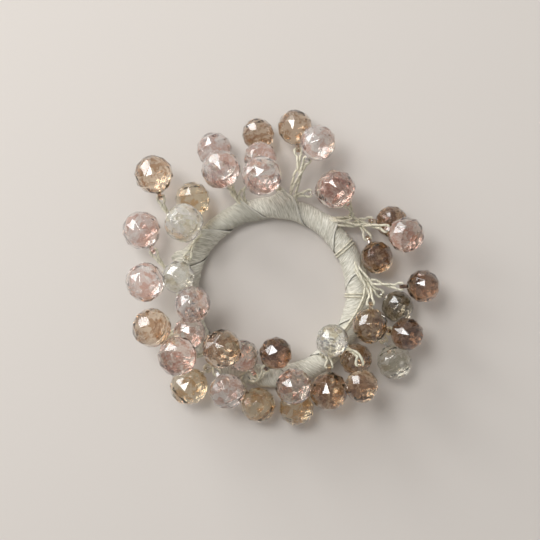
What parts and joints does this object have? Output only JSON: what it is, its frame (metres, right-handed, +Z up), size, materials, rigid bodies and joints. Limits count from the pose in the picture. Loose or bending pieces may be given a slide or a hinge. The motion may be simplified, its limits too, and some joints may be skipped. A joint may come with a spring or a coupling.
{
  "type": "candle ring",
  "caption": "Round wire candle ring wound with pale paper tape, with sprays of tinted faceted acrylic beads on paper-covered wire stems.",
  "frame": {"origin": "centre of the ring on the surface that it stands on", "axes": "+Z up out of the ring; +X and +Y in the resting plane, +Y to the top of the picture"},
  "size_m": [0.1619, 0.163, 0.0513],
  "materials": {
    "acrylic_blush": "polished",
    "acrylic_champagne": "polished",
    "acrylic_clear": "polished",
    "paper_tape": "creped",
    "paper_wire": "twisted",
    "binding_wire": "matte",
    "hoop_steel": "drawn"
  },
  "bodies": {
    "ring": {"core_hoop": "hoop_steel", "tape_wrap": "paper_tape", "binding_wires": "binding_wire", "spray_01": "paper_wire", "spray_02": "paper_wire", "spray_03": "paper_wire", "spray_04": "paper_wire", "spray_05": "paper_wire", "spray_06": "paper_wire", "spray_07": "paper_wire", "spray_08": "paper_wire", "spray_09": "paper_wire", "spray_10": "paper_wire", "spray_11": "paper_wire", "spray_12": "paper_wire", "spray_13": "paper_wire", "spray_14": "paper_wire", "spray_15": "paper_wire", "spray_16": "paper_wire", "spray_17": "paper_wire"},
    "bead_01": {"bead_01": "acrylic_champagne"},
    "bead_02": {"bead_02": "acrylic_blush"},
    "bead_03": {"bead_03": "acrylic_blush"},
    "bead_04": {"bead_04": "acrylic_champagne"},
    "bead_05": {"bead_05": "acrylic_blush"},
    "bead_06": {"bead_06": "acrylic_blush"},
    "bead_07": {"bead_07": "acrylic_champagne"},
    "bead_08": {"bead_08": "acrylic_blush"},
    "bead_09": {"bead_09": "acrylic_blush"},
    "bead_10": {"bead_10": "acrylic_clear"},
    "bead_11": {"bead_11": "acrylic_clear"},
    "bead_12": {"bead_12": "acrylic_blush"},
    "bead_13": {"bead_13": "acrylic_blush"},
    "bead_14": {"bead_14": "acrylic_clear"},
    "bead_15": {"bead_15": "acrylic_blush"},
    "bead_16": {"bead_16": "acrylic_champagne"},
    "bead_17": {"bead_17": "acrylic_blush"},
    "bead_18": {"bead_18": "acrylic_blush"},
    "bead_19": {"bead_19": "acrylic_champagne"},
    "bead_20": {"bead_20": "acrylic_champagne"},
    "bead_21": {"bead_21": "acrylic_blush"},
    "bead_22": {"bead_22": "acrylic_blush"},
    "bead_23": {"bead_23": "acrylic_blush"},
    "bead_24": {"bead_24": "acrylic_champagne"},
    "bead_25": {"bead_25": "acrylic_blush"},
    "bead_26": {"bead_26": "acrylic_champagne"},
    "bead_27": {"bead_27": "acrylic_blush"},
    "bead_28": {"bead_28": "acrylic_blush"},
    "bead_29": {"bead_29": "acrylic_blush"},
    "bead_30": {"bead_30": "acrylic_blush"},
    "bead_31": {"bead_31": "acrylic_clear"},
    "bead_32": {"bead_32": "acrylic_blush"},
    "bead_33": {"bead_33": "acrylic_blush"},
    "bead_34": {"bead_34": "acrylic_clear"},
    "bead_35": {"bead_35": "acrylic_blush"},
    "bead_36": {"bead_36": "acrylic_champagne"},
    "bead_37": {"bead_37": "acrylic_blush"},
    "bead_38": {"bead_38": "acrylic_blush"},
    "bead_39": {"bead_39": "acrylic_blush"}
  },
  "joints": [
    {"name": "bead_01_rock", "type": "hinge", "parent": "ring", "child": "bead_01", "pos_m": [-0.0573, 0.04932, 0.01554], "axis": [0.9677, 0.2519, 0], "range_deg": [-12, 15]},
    {"name": "bead_02_rock", "type": "hinge", "parent": "ring", "child": "bead_02", "pos_m": [-0.02501, 0.06352, 0.01086], "axis": [0.9057, 0.4239, 0], "range_deg": [-4, 5]},
    {"name": "bead_03_rock", "type": "hinge", "parent": "ring", "child": "bead_03", "pos_m": [-0.02191, 0.05553, 0.01904], "axis": [0.8629, 0.5054, 0], "range_deg": [-5, 10]},
    {"name": "bead_04_rock", "type": "hinge", "parent": "ring", "child": "bead_04", "pos_m": [-0.0039, 0.07171, 0.00964], "axis": [0.9508, 0.3098, 0], "range_deg": [-4, 5]},
    {"name": "bead_05_rock", "type": "hinge", "parent": "ring", "child": "bead_05", "pos_m": [-0.00219, 0.06137, 0.01652], "axis": [0.8761, 0.4822, 0], "range_deg": [-5, 5]},
    {"name": "bead_06_rock", "type": "hinge", "parent": "ring", "child": "bead_06", "pos_m": [-0.00984, 0.0551, 0.03083], "axis": [0.4889, -0.8723, 0], "range_deg": [-5, 15]},
    {"name": "bead_07_rock", "type": "hinge", "parent": "ring", "child": "bead_07", "pos_m": [0.01324, 0.07402, 0.01212], "axis": [0.9936, 0.1131, 0], "range_deg": [-5, 6]},
    {"name": "bead_08_rock", "type": "hinge", "parent": "ring", "child": "bead_08", "pos_m": [0.01833, 0.0685, 0.01889], "axis": [0.8284, -0.5601, 0], "range_deg": [-6, 12]},
    {"name": "bead_09_rock", "type": "hinge", "parent": "ring", "child": "bead_09", "pos_m": [0.03759, 0.04563, 0.0221], "axis": [0.7446, 0.6675, 0], "range_deg": [-5, 12]},
    {"name": "bead_10_rock", "type": "hinge", "parent": "ring", "child": "bead_10", "pos_m": [-0.03865, 0.03689, 0.01108], "axis": [0.9794, 0.2017, 0], "range_deg": [-5, 6]},
    {"name": "bead_11_rock", "type": "hinge", "parent": "ring", "child": "bead_11", "pos_m": [-0.04002, 0.03286, 0.0175], "axis": [0.482, 0.8762, 0], "range_deg": [-8, 12]},
    {"name": "bead_12_rock", "type": "hinge", "parent": "ring", "child": "bead_12", "pos_m": [-0.06143, 0.02173, 0.01244], "axis": [0.8836, 0.4683, 0], "range_deg": [-10, 15]},
    {"name": "bead_13_rock", "type": "hinge", "parent": "ring", "child": "bead_13", "pos_m": [-0.05981, 0.00869, 0.02045], "axis": [-0.6752, 0.7377, 0], "range_deg": [-10, 5]},
    {"name": "bead_14_rock", "type": "hinge", "parent": "ring", "child": "bead_14", "pos_m": [-0.04381, 0.01719, 0.01587], "axis": [-0.9159, 0.4015, 0], "range_deg": [-4, 5]},
    {"name": "bead_15_rock", "type": "hinge", "parent": "ring", "child": "bead_15", "pos_m": [-0.04073, -0.0092, 0.02066], "axis": [0.9557, -0.2945, 0], "range_deg": [-5, 6]},
    {"name": "bead_16_rock", "type": "hinge", "parent": "ring", "child": "bead_16", "pos_m": [-0.05662, -0.02128, 0.01586], "axis": [0.7056, 0.7086, 0], "range_deg": [-8, 4]},
    {"name": "bead_17_rock", "type": "hinge", "parent": "ring", "child": "bead_17", "pos_m": [-0.04987, -0.02282, 0.01213], "axis": [0.2796, -0.9601, 0], "range_deg": [-2, 4]},
    {"name": "bead_18_rock", "type": "hinge", "parent": "ring", "child": "bead_18", "pos_m": [-0.04029, -0.0314, 0.02737], "axis": [0.0766, 0.9971, 0], "range_deg": [-4, 5]},
    {"name": "bead_19_rock", "type": "hinge", "parent": "ring", "child": "bead_19", "pos_m": [-0.03414, -0.03996, 0.01128], "axis": [-0.6965, 0.7175, 0], "range_deg": [-5, 10]},
    {"name": "bead_20_rock", "type": "hinge", "parent": "ring", "child": "bead_20", "pos_m": [-0.02937, -0.02997, 0.0247], "axis": [0.4718, -0.8817, 0], "range_deg": [-4, 5]},
    {"name": "bead_21_rock", "type": "hinge", "parent": "ring", "child": "bead_21", "pos_m": [-0.00977, -0.04065, 0.01518], "axis": [0.8508, 0.5255, 0], "range_deg": [-8, 5]},
    {"name": "bead_22_rock", "type": "hinge", "parent": "ring", "child": "bead_22", "pos_m": [-0.00278, -0.03794, 0.01881], "axis": [0.8501, -0.5266, 0], "range_deg": [-10, 5]},
    {"name": "bead_23_rock", "type": "hinge", "parent": "ring", "child": "bead_23", "pos_m": [-0.02782, -0.04178, 0.01449], "axis": [-0.8552, -0.5182, 0], "range_deg": [-5, 8]},
    {"name": "bead_24_rock", "type": "hinge", "parent": "ring", "child": "bead_24", "pos_m": [-0.01473, -0.04977, 0.01042], "axis": [-0.737, -0.6759, 0], "range_deg": [-2, 5]},
    {"name": "bead_25_rock", "type": "hinge", "parent": "ring", "child": "bead_25", "pos_m": [0.0128, -0.04422, 0.01748], "axis": [-0.7876, 0.6162, 0], "range_deg": [-8, 6]},
    {"name": "bead_26_rock", "type": "hinge", "parent": "ring", "child": "bead_26", "pos_m": [0.01349, -0.04848, 0.01108], "axis": [-0.9974, 0.0723, 0], "range_deg": [-2, 5]},
    {"name": "bead_27_rock", "type": "hinge", "parent": "ring", "child": "bead_27", "pos_m": [0.0292, -0.03864, 0.01489], "axis": [-0.9999, 0.0169, 0], "range_deg": [-5, 5]},
    {"name": "bead_28_rock", "type": "hinge", "parent": "ring", "child": "bead_28", "pos_m": [0.04371, -0.03596, 0.03018], "axis": [-0.9945, -0.1045, 0], "range_deg": [-5, 12]},
    {"name": "bead_29_rock", "type": "hinge", "parent": "ring", "child": "bead_29", "pos_m": [0.03361, -0.02985, 0.01262], "axis": [-0.4219, -0.9066, 0], "range_deg": [-2, 5]},
    {"name": "bead_30_rock", "type": "hinge", "parent": "ring", "child": "bead_30", "pos_m": [0.02965, -0.02646, 0.01781], "axis": [0.982, -0.189, 0], "range_deg": [-10, 8]},
    {"name": "bead_31_rock", "type": "hinge", "parent": "ring", "child": "bead_31", "pos_m": [0.05818, -0.02568, 0.00991], "axis": [-0.8976, -0.4409, 0], "range_deg": [-5, 5]},
    {"name": "bead_32_rock", "type": "hinge", "parent": "ring", "child": "bead_32", "pos_m": [0.05037, -0.00638, 0.0157], "axis": [-0.9984, 0.0564, 0], "range_deg": [-5, 8]},
    {"name": "bead_33_rock", "type": "hinge", "parent": "ring", "child": "bead_33", "pos_m": [0.06098, -0.0198, 0.01513], "axis": [-0.1477, -0.989, 0], "range_deg": [-6, 6]},
    {"name": "bead_34_rock", "type": "hinge", "parent": "ring", "child": "bead_34", "pos_m": [0.0567, -0.00119, 0.01068], "axis": [-0.5963, -0.8028, 0], "range_deg": [-2, 6]},
    {"name": "bead_35_rock", "type": "hinge", "parent": "ring", "child": "bead_35", "pos_m": [0.06689, 0.00326, 0.01641], "axis": [0.0094, -1, 0], "range_deg": [-10, 12]},
    {"name": "bead_36_rock", "type": "hinge", "parent": "ring", "child": "bead_36", "pos_m": [0.04962, 0.02759, 0.0115], "axis": [-0.9064, -0.4225, 0], "range_deg": [-4, 8]},
    {"name": "bead_37_rock", "type": "hinge", "parent": "ring", "child": "bead_37", "pos_m": [0.05159, 0.03696, 0.01043], "axis": [-0.0395, -0.9992, 0], "range_deg": [-2, 5]},
    {"name": "bead_38_rock", "type": "hinge", "parent": "ring", "child": "bead_38", "pos_m": [0.05867, 0.03241, 0.02087], "axis": [-0.3345, -0.9424, 0], "range_deg": [-5, 10]},
    {"name": "bead_39_rock", "type": "hinge", "parent": "ring", "child": "bead_39", "pos_m": [0.02013, 0.05137, 0.01027], "axis": [0.1389, -0.9903, 0], "range_deg": [-2, 5]}
  ]
}
